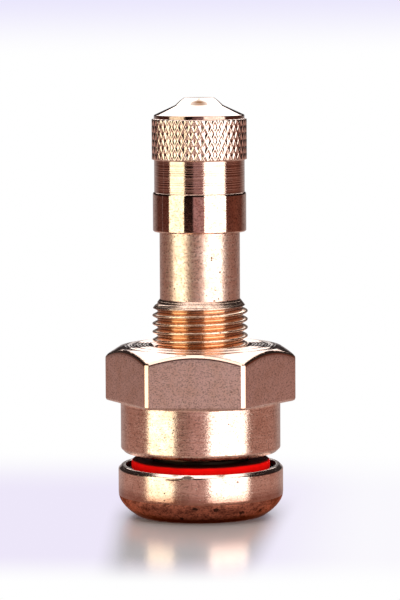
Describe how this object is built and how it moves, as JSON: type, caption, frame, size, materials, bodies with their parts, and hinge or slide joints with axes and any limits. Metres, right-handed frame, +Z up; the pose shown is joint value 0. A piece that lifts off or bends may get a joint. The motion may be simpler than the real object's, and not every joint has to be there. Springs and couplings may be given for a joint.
{
  "type": "tyre valve",
  "caption": "Clamp-in brass tyre valve with a round foot, red sealing ring, hexagon collar nut, threaded shank, plain neck, knurled screw cap and a spring-loaded core inside.",
  "frame": {"origin": "centre of the foot's flat underside", "axes": "+Z up the stem towards the cap; -Y is the normal of one flat of the nut's hexagon"},
  "size_m": [0.0194, 0.017, 0.0424],
  "materials": {
    "stem_brass": "turned, satin, stained at the foot",
    "nut_brass": "milled, satin with fine pits",
    "cap_brass": "turned and knurled, bright",
    "core_brass": "bright",
    "red_rubber": "smooth, slightly glossy",
    "black_rubber": "matt",
    "spring_steel": "drawn wire"
  },
  "bodies": {
    "stem": {"valve_body": "stem_brass", "seal_ring": "red_rubber", "core_plug": "core_brass", "core_barrel": "core_brass", "core_gasket": "red_rubber", "core_spring": "spring_steel"},
    "nut": {"collar_nut": "nut_brass"},
    "cap_liner": {"cap_gasket": "black_rubber"},
    "cap": {"cap_shell": "cap_brass"},
    "pin": {"core_pin": "core_brass", "core_plunger": "core_brass", "plunger_seal": "black_rubber"}
  },
  "joints": [
    {"name": "nut_run", "type": "slide", "parent": "stem", "child": "nut", "axis": [0, 0, 1], "range_m": [-0.00074, 0.0113]},
    {"name": "cap_lift", "type": "slide", "parent": "stem", "child": "cap_liner", "axis": [0, 0, 1], "range_m": [0, 0.00873]},
    {"name": "cap_turn", "type": "hinge", "parent": "cap_liner", "child": "cap", "pos_m": [0, 0, 0.039], "axis": [0, 0, 1], "range_deg": [0, 3960]},
    {"name": "pin_press", "type": "slide", "parent": "stem", "child": "pin", "axis": [0, 0, -1], "range_m": [0, 0.0013], "stiffness_N_per_m": 1000, "springref_m": -0.002, "deforming": ["core_spring"]}
  ],
  "couplings": [
    {"joint": "cap_turn", "follows": "cap_lift", "rad_per_m": 7913.3}
  ]
}
